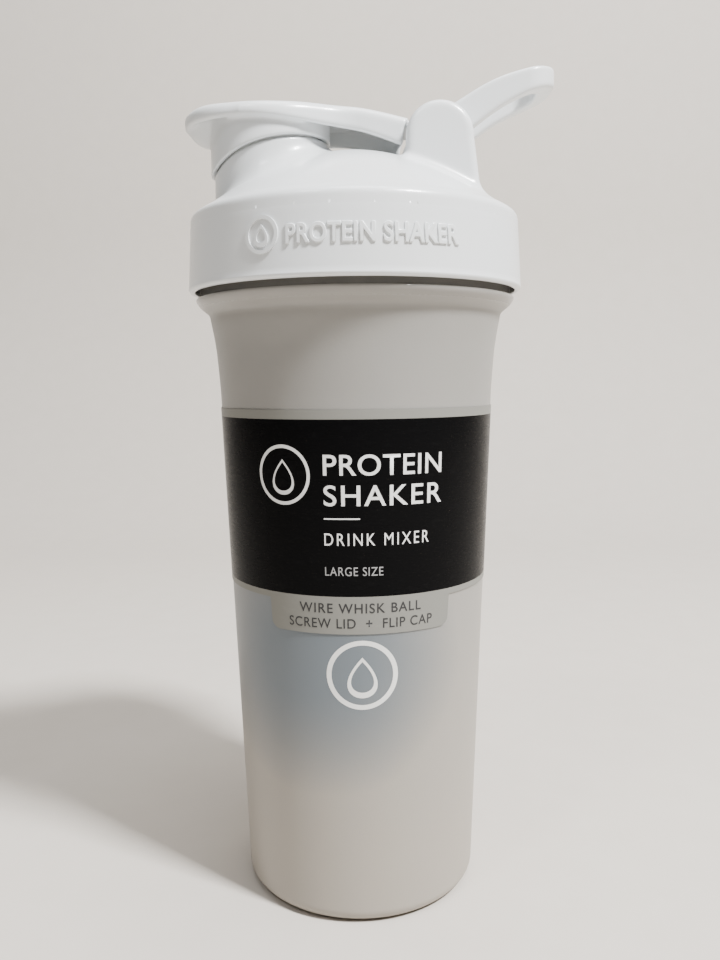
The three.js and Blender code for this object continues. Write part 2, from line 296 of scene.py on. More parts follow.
def lid_plastic():
    """Glossy moulded plastic with faint waviness and handling wear."""
    tone = tuple(bpy.context.scene.shaker_colours.lid)
    finish = Finish("lid_plastic", coat_weight=0.25, coat_roughness=0.12, ior=1.5)
    clouds = finish.noise(38.0, 3.0)
    speckle = finish.noise(900.0, 2.0)
    warm = tuple(channel * factor for channel, factor in zip(tone, (0.985, 0.975, 0.955)))
    finish.drive(
        base_color=finish.mix(clouds.above(0.5, 0.5) * 0.5, tone, warm),
        roughness=0.24 + clouds * 0.06 + speckle * 0.06,
    )
    finish.bump(finish.noise(130.0, 2.0) + speckle * 0.12, 0.00012, 0.22)
    return finish.material


def frosted_plastic():
    """Milky wall: a satin skin with soft clouds and fine frosting, a cool, darker patch of painted shade,
    and painted light that makes it brighter and warmer towards the base.
    """
    colours = bpy.context.scene.shaker_colours
    finish = Finish("frosted_plastic", ior=1.49, subsurface_weight=0.25, subsurface_scale=0.004)
    finish.shader.inputs["Subsurface Radius"].default_value = (1.0, 0.95, 0.85)
    x, _, z = finish.axes()
    clouds = finish.noise(16.0, 2.0, finish.stretched((1.0, 1.0, 0.35)))
    frost = finish.noise(1500.0, 2.0)
    # painted shade: a cool, darker patch centred at x = -14 mm and 78 mm up, its edge broken by the
    # clouds noise
    across, up = (x + 0.014) * 26.0, (z - 0.078) * 28.0
    shade = (1.15 - across * across - up * up + (clouds - 0.5) * 0.8).above(0.5, 1.1)
    # painted light: the wall turns brighter and warmer from 110 mm down to 20 mm
    lower = 1 - z.above(0.065, 0.09)
    tone = finish.mix(lower, tuple(colours.frosted), tuple(colours.warm))
    finish.drive(
        base_color=finish.mix(shade * 0.85, tone, tuple(colours.painted_shade)),
        roughness=0.34 + frost * 0.1 + clouds * 0.05 - z.above(0.1748, 0.002) * 0.26,
    )
    finish.bump(frost * 0.5 + finish.noise(95.0, 2.0), 0.00015, 0.25)
    return finish.material


def sleeve_film(name, tone, gloss):
    """Satin printed film with slight ripples and scuffs."""
    finish = Finish(name, ior=1.4, specular_ior_level=0.06)
    scuff = finish.noise(220.0, 4.0, finish.stretched((1.0, 1.0, 3.0)))
    worn = tuple(channel * 1.08 + 0.002 for channel in tone)
    finish.drive(
        base_color=finish.mix(scuff.above(0.66, 0.12) * 0.5, tone, worn),
        roughness=gloss + scuff * 0.14,
    )
    finish.bump(finish.noise(55.0, 2.0), 0.0002, 0.25)
    return finish.material


def ink(name, tone):
    """Flat printing ink, a little uneven."""
    finish = Finish(name, ior=1.45)
    grain = finish.noise(700.0, 2.0)
    dull = tuple(channel * 0.9 for channel in tone)
    finish.drive(base_color=finish.mix(grain, tone, dull), roughness=0.42 + grain * 0.12)
    return finish.material


def drawn_steel():
    """Stainless wire with draw marks along it."""
    tone = tuple(bpy.context.scene.shaker_colours.steel)
    finish = Finish("drawn_steel", metallic=1.0)
    marks = finish.noise(2400.0, 3.0)
    dark = tuple(channel * 0.8 for channel in tone)
    finish.drive(base_color=finish.mix(marks, tone, dark), roughness=0.2 + marks * 0.16)
    finish.bump(marks, 0.00004, 0.3)
    return finish.material


def soft_rubber():
    finish = Finish("soft_seal", ior=1.42, sheen_weight=0.1)
    grain = finish.noise(1200.0, 2.0)
    finish.drive(
        base_color=finish.mix(grain, (0.62, 0.63, 0.63), (0.54, 0.55, 0.55)),
        roughness=0.6 + grain * 0.15,
    )
    finish.bump(grain, 0.00006, 0.3)
    return finish.material


# ---- Making pieces -------------------------------------------------------------------------------
def add_piece(name, points, faces, material, body, node=None):
    """A smooth-shaded piece from points in millimetres, riding on its body."""
    mesh = bpy.data.meshes.new(name)
    mesh.from_pydata((np.asarray(points) * MM).tolist(), [], faces)
    mesh.validate()
    return adopt(name, mesh, material, body, node)


def adopt(name, mesh, material, body, node=None, smooth=True):
    if smooth:
        mesh.shade_smooth()
    if material:
        mesh.materials.clear()
        mesh.materials.append(material)
    piece = bpy.data.objects.new(name, mesh)
    bpy.context.scene.collection.objects.link(piece)
    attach(piece, body)
    if node:
        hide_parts(node)
    return piece


def turned(profile, facets=256, centre=0.0):
    """Points and faces of a profile of [radius, z] turned round Z. Going up the outside faces out."""
    profile = np.array(profile, float)
    angle = np.linspace(0, 2 * np.pi, facets, endpoint=False)
    r, z = profile[:, 0][:, None], profile[:, 1][:, None]
    points = np.stack(
        [centre + r * np.cos(angle), r * np.sin(angle), z + 0 * angle], axis=-1
    ).reshape(-1, 3)
    k = np.arange(facets)
    n = (k + 1) % facets
    rows = np.arange(len(profile) - 1)[:, None] * facets
    faces = np.stack([rows + k, rows + n, rows + facets + n, rows + facets + k], axis=-1)
    return points, faces.reshape(-1, 4).tolist()


def joined(*parts):
    """Several (points, faces) as one."""
    points, faces, start = [], [], 0
    for part_points, part_faces in parts:
        points.append(np.asarray(part_points, float))
        faces += [[start + i for i in face] for face in part_faces]
        start += len(part_points)
    return np.concatenate(points), faces


def arc(centre, radius, first, last, steps):
    """[radius, z] points on an arc, its angles in degrees from the outward direction."""
    turn = np.radians(np.linspace(first, last, steps + 1))
    return [(centre[0] + radius * math.cos(a), centre[1] + radius * math.sin(a)) for a in turn]


def thread(start_z, wall, crest, turns=1.5):
    """A ridge round Z that grows out of wall(z) to crest(z) and runs out at both ends."""
    steps = int(turns * 160)
    t = np.linspace(0, 1, steps + 1)
    angle = t * turns * 2 * np.pi
    z = start_z + t * turns * THREAD_PITCH
    rise = np.clip(12 * np.minimum(t, 1 - t), 0, 1) ** 0.5
    outward = wall(z)[0] < crest(z)[0]
    sunk = -0.4 if outward else 0.4
    rows = []
    for part, half in ((0, -1.1), (0.75, -0.85), (1, -0.5), (1, 0.5), (0.75, 0.85), (0, 1.1)):
        root = wall(z) + (sunk if part == 0 else 0)
        r = root + (crest(z) - wall(z)) * rise * part
        rows.append(np.stack([r * np.cos(angle), r * np.sin(angle), z + half], axis=-1))
    points = np.stack(rows, axis=1).reshape(-1, 3)
    count = len(rows)
    faces = []
    for i in range(steps):
        for k in range(count):
            a, b = i * count + k, i * count + (k + 1) % count
            face = [a, a + count, b + count, b]
            faces.append(face if outward else face[::-1])
    ends = [list(range(count)), list(range(steps * count, steps * count + count))[::-1]]
    faces += ends if outward else [end[::-1] for end in ends]
    return points, faces


# ---- Moulded shapes from distance fields ---------------------------------------------------------
def melt(a, b, radius):
    """Union of two solids with a fillet between them."""
    near = np.maximum(radius - np.abs(a - b), 0) / radius
    return np.minimum(a, b) - near * near * radius / 4


def common(a, b, radius):
    """What two solids share, with its edge rounded."""
    return -melt(-a, -b, radius)


def cut(a, b, radius):
    """Solid a without solid b, with the edge rounded."""
    return common(a, -b, radius)


def moulded(field, lowest, highest, cell, open_base=False):
    """Points and quads of the surface where field is zero, by one point in each crossed cell."""
    lowest, highest = np.array(lowest, float), np.array(highest, float)
    count = np.ceil((highest - lowest) / cell).astype(int)
    lines = [lowest[i] + cell * np.arange(count[i] + 1) for i in range(3)]
    values = field(*np.meshgrid(*lines, indexing="ij")).astype(np.float32)
    inside = values < 0
    total = np.zeros((*count, 3), np.float32)
    hits = np.zeros(count, np.float32)
    corners = [np.array(corner) for corner in np.ndindex(2, 2, 2)]

    def window(array, corner):
        return array[tuple(slice(c, c + n) for c, n in zip(corner, count))]

    for a in corners:
        for axis in range(3):
            if a[axis]:
                continue
            b = a.copy()
            b[axis] = 1
            va, vb = window(values, a), window(values, b)
            crossed = window(inside, a) != window(inside, b)
            t = np.where(crossed, va / np.where(crossed, va - vb, 1), 0)
            for i in range(3):
                total[..., i] += crossed * (a[i] + (t if i == axis else 0))
            hits += crossed
    used = hits > 0
    index = np.full(count, -1)
    index[used] = np.arange(used.sum())
    cells = np.argwhere(used)
    points = lowest + cell * (cells + total[used] / hits[used][:, None])

    faces = []
    for axis in range(3):
        u, v = (axis + 1) % 3, (axis + 2) % 3
        here = [slice(1, n) for n in count]
        here[axis] = slice(0, count[axis])
        ahead = list(here)
        ahead[axis] = slice(1, count[axis] + 1)
        first, second = inside[tuple(here)], inside[tuple(ahead)]
        start = np.argwhere(first != second)
        outward = first[first != second]
        start[:, u] += 1
        start[:, v] += 1
        ring = []
        for du, dv in ((1, 1), (0, 1), (0, 0), (1, 0)):
            place = start.copy()
            place[:, u] -= du
            place[:, v] -= dv
            ring.append(index[tuple(place.T)])
        quads = np.stack(ring, axis=-1)
        quads[~outward] = quads[~outward][:, ::-1]
        faces.append(quads)
    faces = np.concatenate(faces)

    base = cells[:, 2] == 0 if open_base else np.zeros(len(cells), bool)
    points[base, 2] = lowest[2]
    small = 0.02
    for _ in range(4):
        here = field(*points.T)
        slope = np.empty_like(points)
        for i in range(3):
            nudge = np.zeros(3)
            nudge[i] = small
            slope[:, i] = (field(*(points + nudge).T) - field(*(points - nudge).T)) / (2 * small)
        slope[base, 2] = 0
        size = np.maximum((slope**2).sum(axis=1), 0.05)
        step = np.clip(here / size, -cell / 2, cell / 2)
        points = points - 0.9 * step[:, None] * slope
    return points, faces.tolist()


# ---- The lid's shape -----------------------------------------------------------------------------
def dome_z(r):
    return SHOULDER_Z + DOME_RISE * (1 - (r / SHOULDER_R) ** DOME_POWER)


SKIRT_EDGE = [(-42, 213.0), (-38, 215.0), (-34, 217.2), (-30, 218.8), (-26, 220.0), (-20, 221.3),
              (-14, 222.2), (-6, 222.7)]


def upper_lid(x, y, z):
    sizes = bpy.context.scene.shaker_sizes
    r = np.hypot(x, y)
    slope = DOME_POWER * DOME_RISE / SHOULDER_R * (r / SHOULDER_R) ** (DOME_POWER - 1)
    steep = np.sqrt(1 + slope**2)
    rim_r = collar_r(RIM_Z) - RIM_ROUND
    wall = np.maximum(r - collar_r(z), z - RIM_Z)
    rim = np.minimum(wall, np.hypot(r - rim_r, z - RIM_Z) - RIM_ROUND)
    solid = melt(rim, np.maximum((z - dome_z(r)) / steep, r - rim_r), 1.2)
    from_spout = np.hypot(x - SPOUT_X, y)
    step = common(from_spout - SPOUT_R, z - curve_at(SKIRT_EDGE, x) + 0.5, 0.7)
    tube = np.minimum(step, common(from_spout - 15.4, z - 226.5, 0.9))
    tube = np.maximum(tube, SEAM_Z - z)
    facing = np.clip((x + 40) / 14, 0.25, 1)  # the fillet runs out at the lid's edge
    solid = melt(solid, tube, facing * sizes.spout_fillet / MM)
    middle = HINGE_X + POST_BACK
    left = middle - POST_R - x - 0.02 * (HINGE_Z - z)
    right = (x - middle - POST_R - 0.13 * (HINGE_Z - z)) / 1.01
    stem = np.maximum(np.maximum(left, right), z - HINGE_Z)
    front = np.minimum(stem, np.hypot(x - middle, z - HINGE_Z) - POST_R)
    slab = np.abs(np.abs(y) - POST_MIDDLE) - 2.0
    post = np.maximum(common(front, slab, sizes.post_edge / MM), SEAM_Z - z)
    solid = melt(solid, post, sizes.post_fillet / MM)
    hollow = common(r - collar_bore(z), (z - dome_z(r)) / steep + LID_WALL, 2.0)
    solid = cut(solid, hollow, 0.6)
    solid = cut(solid, from_spout - 13.6, 1.0)
    socket = np.maximum(np.hypot(x - HINGE_X, z - HINGE_Z) - 2.9, np.abs(y) - 14.8)
    return cut(solid, socket, 0.5)


def collar():
    """The lid's skirt, from the seam with the upper lid down to its lower edge and up its bore."""
    lap = [(collar_r(SEAM_Z) - 0.04, SEAM_Z + 0.3)]  # hidden inside the upper lid's wall
    outer = lap + [(collar_r(z), z) for z in np.linspace(SEAM_Z, COLLAR_EDGE + 1.2, 12)]
    edge = arc((COLLAR_R - 1.1, COLLAR_EDGE + 1.1), 1.1, 0, -90, 8)
    inner_edge = arc((collar_bore(COLLAR_LOW) + 0.3, COLLAR_EDGE + 0.3), 0.3, -90, -180, 4)
    inner = [(collar_bore(z), z) for z in np.linspace(COLLAR_LOW + 0.6, SEAM_Z, 6)]
    return turned((outer + edge + inner_edge + inner)[::-1], 360)


# ---- The flip cap's shape ------------------------------------------------------------------------
CAP_TOP = [(-49, 230.3), (-44, 231.3), (-34, 231.6), (-22, 231.6), (-8, 231.4), (2, 230.7),
           (9, 229.3), (15, 227.8), (24, 225.8)]
CAP_LOW = [(-49, 226.4), (-38, 226.4), (-26, 226.0), (-15, 225.2), (-9, 224.9), (-4, 224.5),
           (1.6, 223.6), (7.3, 221.9), (12.6, 220.0), (24, 216.8)]
ARM_HALF = 11.4
ARM_END_R = 10.0


def cap_plan(x, y):
    """Distance from the cap's outline seen from above."""
    head = np.hypot(x - SPOUT_X, y) - 19.2
    tip = np.hypot(x - (CAP_TIP + 14.3), y) - 14.4
    arm = np.maximum(np.maximum(np.abs(y) - ARM_HALF, x - HINGE_X), SPOUT_X - x)
    return melt(melt(head, tip, 5.0), arm, 9.0)


def flip_cap(x, y, z):
    crown = bpy.context.scene.shaker_sizes.cap_crown / MM
    plan = cap_plan(x, y)
    top = z - curve_at(CAP_TOP, x) + crown * np.minimum((y / 19.2) ** 2, 1.0)
    under = curve_at(CAP_LOW, x) - z
    outer = common(common(plan, top, 2.6), under, 1.2)
    hinge = np.hypot(x - HINGE_X, z - HINGE_Z)
    hollow = np.maximum(np.maximum(plan + 1.9, top + 2.0), 6.4 - hinge)
    shell = cut(outer, hollow, 1.0)
    shell = cut(shell, np.maximum(hinge - ARM_END_R, 7.0 - np.abs(y)), 0.5)
    from_spout = np.hypot(x - SPOUT_X, y)
    skirt = common(np.abs(from_spout - 16.65) - 0.85, curve_at(SKIRT_EDGE, x) - z, 0.5)
    plug = common(np.abs(from_spout - 12.3) - 0.7, 221.2 - z, 0.6)
    rings = np.maximum(np.minimum(skirt, plug), top + 1.0)
    shell = melt(shell, rings, 1.0)
    chin = np.sqrt((x + 41.6) ** 2 + (0.92 * y) ** 2 + (z - 229.4) ** 2) - 7.5
    chin = np.maximum(np.maximum(chin, top + 1.2), 16.4 - from_spout)
    shell = melt(shell, np.maximum(chin, x + 38), 1.2)
    knuckle = common(hinge - 4.6, np.abs(y) - 7.0, 1.0)
    pins = common(hinge - 2.6, np.abs(y) - 14.4, 0.8)
    return np.minimum(melt(shell, knuckle, 1.2), pins)


# ---- The carry loop's shape ----------------------------------------------------------------------
LOOP_TOP = [(19.4, 224.8), (24, 227.9), (29.4, 231.3), (39.4, 236.9), (50.4, 240.3), (58, 241.7)]
LOOP_LOW = [(19.4, 213.0), (24, 216.8), (28.2, 219.9), (33.8, 224.1), (41.8, 229.7),
            (50.6, 233.9), (58, 236.3)]


def rounded_box(x, y, half_x, half_y, radius):
    dx = np.abs(x) - half_x + radius
    dy = np.abs(y) - half_y + radius
    return np.hypot(np.maximum(dx, 0), np.maximum(dy, 0)) + np.minimum(np.maximum(dx, dy), 0) - radius


def carry_loop(x, y, z):
    outline = rounded_box(x - (LOOP_TIP - 40), y, 40, 11.6, 9.0)
    gap = rounded_box(x - (LOOP_TIP - 45.2), y, 40, 7.4, 5.4)
    strip = common(outline, -gap, 0.8)
    hinge = np.hypot(x - HINGE_X, z - HINGE_Z)
    rise = 0.86
    side = common(
        (z - curve_at(LOOP_TOP, x)) * rise, (curve_at(LOOP_LOW, x) - z) * rise, 0.8
    )
    side = np.minimum(np.maximum(side, HINGE_X - x), hinge - 4.6)
    return cut(common(strip, side, 1.1), hinge - 2.9, 0.4)


# ---- Marks and lettering -------------------------------------------------------------------------
def lettering(text, size, wide, spacing=1.0, depth=0.0, bevel=0.0, weight=0.0):
    """A mesh of text in millimetres, fitted to a width, its left at x = 0 and base line at y = 0."""
    curve = bpy.data.curves.new("lettering", "FONT")
    curve.body = text
    curve.size = size
    curve.space_character = spacing
    curve.extrude = depth
    curve.bevel_depth = bevel
    curve.bevel_resolution = 2 if bevel else 0
    curve.offset = weight
    curve.resolution_u = 8
    holder = bpy.data.objects.new("lettering", curve)
    bpy.context.scene.collection.objects.link(holder)
    shape = holder.evaluated_get(bpy.context.evaluated_depsgraph_get())
    mesh = bpy.data.meshes.new_from_object(shape)
    bpy.data.objects.remove(holder)
    bpy.data.curves.remove(curve)
    xs = [vert.co.x for vert in mesh.vertices]
    left, stretch = min(xs), wide / (max(xs) - min(xs))
    mesh.transform(Matrix.Diagonal((stretch, 1, 1, 1)) @ Matrix.Translation((-left, 0, 0)))
    return mesh


def drop_mark(size, line):
    """A plain mark in millimetres: a drop inside a ring, centred on the origin."""
    mesh = bpy.data.meshes.new("mark")
    work = bmesh.new()
    steps = 96

    def band(outer, inner):
        rings = [[work.verts.new((x, y, 0)) for x, y in edge] for edge in (outer, inner)]
        for i in range(len(outer)):
            j = (i + 1) % len(outer)
            work.faces.new([rings[0][i], rings[0][j], rings[1][j], rings[1][i]])

    angles = [2 * math.pi * i / steps for i in range(steps)]
    half = size / 2
    band(*[[(r * math.cos(a), r * math.sin(a)) for a in angles] for r in (half, half - line)])

    def drop(scale):
        outline = []
        for a in angles:
            narrow = 0.5 * (1 - math.sin(a)) ** 0.5
            outline.append((scale * math.cos(a) * narrow * 1.25, scale * (math.sin(a) * 0.95 - 0.12)))
        return outline

    band(drop(0.62 * half), drop(0.62 * half - line * 1.1))
    work.to_mesh(mesh)
    work.free()
    return mesh


def wrapped(mesh, angle, z, radius, lift, step=1.2):
    """Bends a flat mesh in millimetres round the axis. angle is in degrees from the front."""
    work = bmesh.new()
    work.from_mesh(mesh)
    xs = [vert.co.x for vert in work.verts]
    for cut_x in np.arange(min(xs) + step, max(xs), step):
        everything = work.verts[:] + work.edges[:] + work.faces[:]
        bmesh.ops.bisect_plane(
            work, geom=everything, dist=1e-5, plane_co=(cut_x, 0, 0), plane_no=(1, 0, 0)
        )
    middle = float(radius(z))
    for vert in work.verts:
        turn = math.radians(angle) + vert.co.x / middle
        height = z + vert.co.y
        out = float(radius(height)) + lift + vert.co.z
        vert.co = (out * math.sin(turn) * MM, -out * math.cos(turn) * MM, height * MM)
    work.to_mesh(mesh)
    work.free()
    return mesh


def gathered(name, meshes, material, body):
    """Several meshes as one piece."""
    work = bmesh.new()
    for mesh in meshes:
        work.from_mesh(mesh)
        bpy.data.meshes.remove(mesh)
    whole = bpy.data.meshes.new(name)
    work.to_mesh(whole)
    work.free()
    return adopt(name, whole, material, body, smooth=False)


# ---- Operators -----------------------------------------------------------------------------------
class SHAKER_OT_bottle(bpy.types.Operator):
    """Turn the frosted bottle with its flange, threaded neck and base"""

    bl_idname = "shaker.bottle"
    bl_label = "Bottle"

    def execute(self, context):
        foot = arc((FOOT_R - FOOT_ROUND, FOOT_ROUND), FOOT_ROUND, -90, 0, 12)
        underside = [(0.01, 0), (22.6, 0), (23.4, 0.25), (24, 0.7), (25, 0.7), (25.6, 0.25), (26.4, 0)]
        side = [(float(bottle_r(z)), z) for z in np.linspace(FOOT_ROUND + 1, 149, 24)]
        flare = [(float(bottle_r(z)), z) for z in np.linspace(150, 172.4, 22)] + FLANGE
        bead = arc((BEAD_R - 0.7, BEAD_TOP - 0.7), 0.7, -10, 90, 8)
        mouth = arc((NECK_R - 0.8, MOUTH_Z - 0.8), 0.8, 0, 90, 6)
        neck_in = NECK_R - NECK_WALL
        lip = arc((neck_in + 0.8, MOUTH_Z - 0.8), 0.8, 90, 180, 6)
        wall = [(float(bottle_r(z)) - WALL, z) for z in np.linspace(169, 12, 30)]
        corner = arc((FOOT_R - WALL - 6, 9), 6, 0, -90, 10)
        neck = [(NECK_BASE_R, BEAD_TOP), (NECK_BASE_R, 180.0), (NECK_R, 181.2)]
        profile = underside + foot + side + flare + bead + neck + mouth + lip
        profile += [(neck_in, 177), (42.0, 174.2)] + wall + corner + [(0.01, 3)]
        ridge = thread(
            187.0, lambda z: NECK_R + 0 * z, lambda z: NECK_R + 1.2 + 0 * z
        )
        points, faces = joined(turned(profile, 288), ridge)
        add_piece("bottle_wall", points, faces, frosted_plastic(), "bottle", "bottle_body")
        return {"FINISHED"}


class SHAKER_OT_sleeve(bpy.types.Operator):
    """Wrap the printed sleeve round the bottle, with its tab and its printing"""

    bl_idname = "shaker.sleeve"
    bl_label = "Sleeve"

    BAND_LOW, BAND_HIGH = 96.2, 143.6
    SLEEVE_LOW = 94.5
    TAB_HALF = 39.5

    def execute(self, context):
        colours = context.scene.shaker_colours
        words = context.scene.shaker_words
        points, faces = self.film()
        film = add_piece("sleeve_film", points, faces, None, "bottle", "label_sleeve")
        film.data.materials.append(sleeve_film("sleeve_black", tuple(colours.band), 0.2))
        film.data.materials.append(sleeve_film("sleeve_grey", tuple(colours.border), 0.3))
        film.data.set_sharp_from_angle(angle=math.radians(40))
        for face in film.data.polygons:
            height = face.center.z / MM
            face.material_index = 0 if self.BAND_LOW < height < self.BAND_HIGH else 1

        def line(text, size, wide, angle, z, **style):
            return wrapped(lettering(text, size, wide, **style), angle, z, sleeve_r, 0.05)

        white = [
            line(words.title, 7.8, 33.0, -12.2, 129.0, spacing=1.05, weight=0.06),
            line(words.second, 7.8, 33.0, -12.2, 120.9, spacing=1.12, weight=0.06),
            line(words.kind, 4.8, 28.8, -12.3, 110.2, spacing=1.3),
            wrapped(self.rule(9.6, 0.35), -12.3, 117.2, sleeve_r, 0.05),
            wrapped(drop_mark(16.2, 0.9), -29.0, 128.8, sleeve_r, 0.05),
        ]
        gathered("sleeve_white_print", white, ink("white_ink", (0.78, 0.78, 0.77)), "bottle")
        grey = [line(words.note, 3.4, 15.6, -12.3, 102.0, spacing=1.1)]
        gathered("sleeve_grey_print", grey, ink("grey_ink", (0.30, 0.30, 0.30)), "bottle")
        dark = [
            line(words.tab_one, 3.8, 33.9, -23.6, 91.7, spacing=1.15, weight=0.04),
            line(words.tab_two, 3.8, 40.7, -28.5, 87.5, spacing=1.1, weight=0.03),
        ]
        gathered("sleeve_dark_print", dark, ink("dark_ink", (0.02, 0.02, 0.022)), "bottle")
        mark = wrapped(drop_mark(19.6, 1.35), 2.0, 74.2, bottle_r, 0.05)
        gathered("bottle_print", [mark], ink("body_ink", (0.80, 0.80, 0.78)), "bottle")
        return {"FINISHED"}

    def rule(self, wide, thick):
        mesh = bpy.data.meshes.new("rule")
        corners = [(0, 0, 0), (wide, 0, 0), (wide, thick, 0), (0, thick, 0)]
        mesh.from_pydata(corners, [], [(0, 1, 2, 3)])
        return mesh

    def tab_low(self, angle):
        """Lower edge of the film at an angle from the front, in degrees: the tab has round corners."""
        reach = self.TAB_HALF - abs(angle - 1.5)
        corner = 4.6
        depth = self.SLEEVE_LOW - TAB_LOW
        if reach <= 0:
            return self.SLEEVE_LOW
        if reach >= corner:
            return TAB_LOW
        rise = 1 - math.sqrt(1 - (1 - reach / corner) ** 2)
        return TAB_LOW + min(depth, rise * corner * 0.72)

    def film(self):
        angles = np.linspace(-180, 180, 720, endpoint=False)
        rows = [SLEEVE_TOP, self.BAND_HIGH, 130, 117, 105, self.BAND_LOW]
        rings = []
        for angle in angles:
            bottom = self.tab_low(angle)
            heights = rows + [self.BAND_LOW + (bottom - self.BAND_LOW) * t for t in (0.4, 0.75, 1)]
            outer = [(float(sleeve_r(z)), z) for z in heights]
            inner = [(r - 0.18, z) for r, z in reversed(outer)]
            turn = math.radians(angle)
            rings.append([(r * math.sin(turn), -r * math.cos(turn), z) for r, z in outer + inner])
        count = len(rings[0])
        points = np.array(rings).reshape(-1, 3)
        faces = []
        for i in range(len(angles)):
            j = (i + 1) % len(angles)
            for k in range(count):
                n = (k + 1) % count
                faces.append([i * count + k, i * count + n, j * count + n, j * count + k])
        return points, faces


class SHAKER_OT_lid(bpy.types.Operator):
    """Mould the screw lid: collar, dome, spout, hinge posts, inner ring and thread"""

    bl_idname = "shaker.lid"
    bl_label = "Screw lid"

    def execute(self, context):
        reach = COLLAR_R + 1.2
        lowest = (-reach, -reach, SEAM_Z)
        dome = moulded(upper_lid, lowest, (reach, reach, 232), 0.62, open_base=True)
        plug = turned(
            [(40.8, 202.9), (40.8, 194.4)] + arc((41.5, 194.4), 0.7, -180, 0, 8) + [(42.2, 202.9)],
            200,
        )
        ridge = thread(189.5, collar_bore, lambda z: NECK_R + 0.4 + 0 * z)
        points, faces = joined(dome, collar(), plug, ridge)
        material = lid_plastic()
        add_piece("lid_moulding", points, faces, material, "lid", "screw_lid")
        self.raised_mark(context, material)
        return {"FINISHED"}

    def raised_mark(self, context, material):
        rise = context.scene.shaker_sizes.emboss / MM
        text = context.scene.shaker_words.collar
        words = lettering(text, 6.6, 45.0, spacing=1.05, depth=rise - 0.2, bevel=0.2, weight=0.04)
        ring = drop_mark(9.6, 0.95)
        work = bmesh.new()
        work.from_mesh(ring)
        made = bmesh.ops.extrude_face_region(work, geom=work.faces[:])
        for part in made["geom"]:
            if isinstance(part, bmesh.types.BMVert):
                part.co.z += rise
        bmesh.ops.recalc_face_normals(work, faces=work.faces[:])
        work.to_mesh(ring)
        work.free()
        marks = [
            wrapped(words, -19.8, 187.4, collar_r, 0.0),
            wrapped(ring, -28.0, 190.0, collar_r, -0.08),
        ]
        gathered("collar_mark", marks, material, "lid")


class SHAKER_OT_cap(bpy.types.Operator):
    """Mould the flip cap with its skirt, plug, arm and pins"""

    bl_idname = "shaker.cap"
    bl_label = "Flip cap"

    def execute(self, context):
        lowest = (CAP_TIP - 1, -20.4, 212.5)
        points, faces = moulded(flip_cap, lowest, (HINGE_X + 6, 20.4, 233), 0.46)
        material = bpy.data.materials["lid_plastic"]
        add_piece("cap_moulding", points, faces, material, "cap", "flip_cap")
        return {"FINISHED"}


class SHAKER_OT_loop(bpy.types.Operator):
    """Mould the carry loop"""

    bl_idname = "shaker.loop"
    bl_label = "Carry loop"

    def execute(self, context):
        lowest = (HINGE_X - 6, -12.6, HINGE_Z - 6)
        points, faces = moulded(carry_loop, lowest, (LOOP_TIP + 1, 12.6, 243), 0.4)
        material = bpy.data.materials["lid_plastic"]
        add_piece("loop_moulding", points, faces, material, "loop", "carry_loop")
        return {"FINISHED"}


class SHAKER_OT_seal(bpy.types.Operator):
    """Turn the soft seal ring"""

    bl_idname = "shaker.seal"
    bl_label = "Seal"

    def execute(self, context):
        inner, outer = 42.5, high("lid_seal", 1)
        bottom, top = low("lid_seal", 2), high("lid_seal", 2)
        middle, radius = (top + bottom) / 2, (top - bottom) / 2
        outside = arc((outer - radius, middle), radius, -90, 90, 8)
        inside = arc((inner + radius, middle), radius, 90, 270, 8)
        points, faces = turned(outside + inside + outside[:1], 200)
        add_piece("seal_ring", points, faces, soft_rubber(), "seal", "lid_seal")
        return {"FINISHED"}


